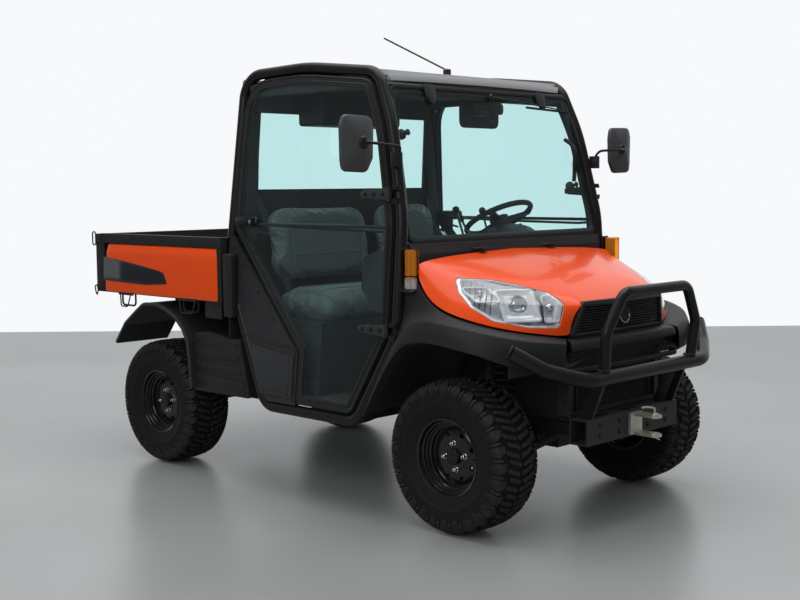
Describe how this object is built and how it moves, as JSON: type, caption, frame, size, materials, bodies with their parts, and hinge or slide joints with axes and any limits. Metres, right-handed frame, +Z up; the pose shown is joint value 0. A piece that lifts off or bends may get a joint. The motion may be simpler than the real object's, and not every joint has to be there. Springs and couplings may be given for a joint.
{
  "type": "side by side utility vehicle",
  "caption": "Two-seat utility vehicle with a glazed cab, doors, tipping cargo bed with tailgate, tubular brush guard, hinged hood and steered front wheels.",
  "frame": {"origin": "on the ground below the middle of the bounding box", "axes": "+X forward, +Y to the vehicle's left, +Z up"},
  "size_m": [3.045, 2.026, 2.1326],
  "materials": {
    "frame_black": "satin",
    "bed_black": "semi-matte",
    "body_orange": "gloss",
    "dark_plastic": "textured",
    "floor_plastic": "textured",
    "roof_panel": "satin",
    "glass": "clear",
    "seat_vinyl": "matte",
    "zinc": "zinc plated",
    "cast_grey": "painted",
    "amber_lens": "clear",
    "lamp_lens": "clear",
    "tyre": "matte",
    "rim_black": "gloss"
  },
  "bodies": {
    "chassis": {"main_frame": "frame_black", "cab_frame": "frame_black", "cab_floor": "floor_plastic", "side_panels": "dark_plastic", "roof": "roof_panel", "windshield": "glass", "rear_wall": "dark_plastic", "rear_window": "glass", "seat_base": "dark_plastic", "seat_cushions": "seat_vinyl", "seat_backs": "seat_vinyl", "dashboard": "dark_plastic", "cowl": "dark_plastic", "front_skirt": "dark_plastic", "brush_guard": "frame_black", "receiver_beam": "frame_black", "tow_clevis": "zinc", "front_axle": "cast_grey", "suspension": "frame_black", "rear_axle": "cast_grey", "engine_block": "cast_grey", "rear_fenders": "dark_plastic", "side_covers": "dark_plastic", "mirrors": "dark_plastic", "signal_lamps": "amber_lens"},
    "bed": {"bed_tray": "bed_black", "bed_sides": "body_orange"},
    "tailgate": {"tailgate": "bed_black"},
    "hood": {"hood": "body_orange", "headlamps": "lamp_lens", "grille": "dark_plastic"},
    "door_right": {"door_right_frame": "frame_black", "door_right_glass": "glass"},
    "door_left": {"door_left_frame": "frame_black", "door_left_glass": "glass"},
    "steering_wheel": {"steering_wheel": "dark_plastic"},
    "steering_rack": {"steering_rack": "zinc"},
    "knuckle_right": {"knuckle_right": "cast_grey"},
    "knuckle_left": {"knuckle_left": "cast_grey"},
    "lift_barrel": {"lift_barrel": "bed_black"},
    "lift_rod": {"lift_rod": "zinc"},
    "wheel_front_right": {"tyre_front_right": "tyre", "rim_front_right": "rim_black"},
    "wheel_front_left": {"tyre_front_left": "tyre", "rim_front_left": "rim_black"},
    "wheel_rear_right": {"tyre_rear_right": "tyre", "rim_rear_right": "rim_black"},
    "wheel_rear_left": {"tyre_rear_left": "tyre", "rim_rear_left": "rim_black"}
  },
  "joints": [
    {"name": "steer_right", "type": "hinge", "parent": "chassis", "child": "knuckle_right", "pos_m": [0.9725, -0.528, 0.3175], "axis": [0, 0, 1], "range_deg": [-32, 32]},
    {"name": "steer_left", "type": "hinge", "parent": "chassis", "child": "knuckle_left", "pos_m": [0.9725, 0.528, 0.3175], "axis": [0, 0, 1], "range_deg": [-32, 32]},
    {"name": "steering_wheel_turn", "type": "hinge", "parent": "chassis", "child": "steering_wheel", "pos_m": [0.3472, 0.36, 1.257], "axis": [-0.4695, 0, 0.8829], "range_deg": [-480, 480]},
    {"name": "rack_slide", "type": "slide", "parent": "chassis", "child": "steering_rack", "axis": [0, 1, 0], "range_m": [-0.065, 0.065]},
    {"name": "wheel_front_right_spin", "type": "hinge", "parent": "knuckle_right", "child": "wheel_front_right", "pos_m": [0.9725, -0.62, 0.3175], "axis": [0, 1, 0], "continuous": true},
    {"name": "wheel_front_left_spin", "type": "hinge", "parent": "knuckle_left", "child": "wheel_front_left", "pos_m": [0.9725, 0.62, 0.3175], "axis": [0, 1, 0], "continuous": true},
    {"name": "wheel_rear_right_spin", "type": "hinge", "parent": "chassis", "child": "wheel_rear_right", "pos_m": [-1.0375, -0.62, 0.3175], "axis": [0, 1, 0], "continuous": true},
    {"name": "wheel_rear_left_spin", "type": "hinge", "parent": "chassis", "child": "wheel_rear_left", "pos_m": [-1.0375, 0.62, 0.3175], "axis": [0, 1, 0], "continuous": true},
    {"name": "door_right_swing", "type": "hinge", "parent": "chassis", "child": "door_right", "pos_m": [0.68088, -0.76801, 0.8196], "axis": [-0.0469, 0.0895, 0.9949], "range_deg": [0, 70]},
    {"name": "door_left_swing", "type": "hinge", "parent": "chassis", "child": "door_left", "pos_m": [0.68088, 0.76801, 0.8196], "axis": [0.0469, 0.0895, -0.9949], "range_deg": [0, 70]},
    {"name": "hood_lift", "type": "hinge", "parent": "chassis", "child": "hood", "pos_m": [0.7425, 0, 1.144], "axis": [0, -1, 0], "range_deg": [0, 50]},
    {"name": "bed_tilt", "type": "hinge", "parent": "chassis", "child": "bed", "pos_m": [-1.3675, 0, 0.8], "axis": [0, -1, 0], "range_deg": [0, 50]},
    {"name": "tailgate_drop", "type": "hinge", "parent": "bed", "child": "tailgate", "pos_m": [-1.5035, 0, 0.899], "axis": [0, -1, 0], "range_deg": [0, 90]},
    {"name": "lift_swing", "type": "hinge", "parent": "chassis", "child": "lift_barrel", "pos_m": [-1.1225, 0, 0.5], "axis": [0, -1, 0], "range_deg": [-1, 39]},
    {"name": "lift_slide", "type": "slide", "parent": "lift_barrel", "child": "lift_rod", "axis": [0.6518, 0, 0.7584], "range_m": [0, 0.315]}
  ],
  "couplings": [
    {"joint": "steer_left", "follows": "steer_right", "ratio": 1},
    {"joint": "steering_wheel_turn", "follows": "steer_right", "ratio": 14.5},
    {"joint": "rack_slide", "follows": "steer_right", "m_per_rad": -0.09828},
    {"joint": "lift_swing", "follows": "bed_tilt", "ratio": 0.7181},
    {"joint": "lift_slide", "follows": "bed_tilt", "m_per_rad": 0.34936}
  ]
}
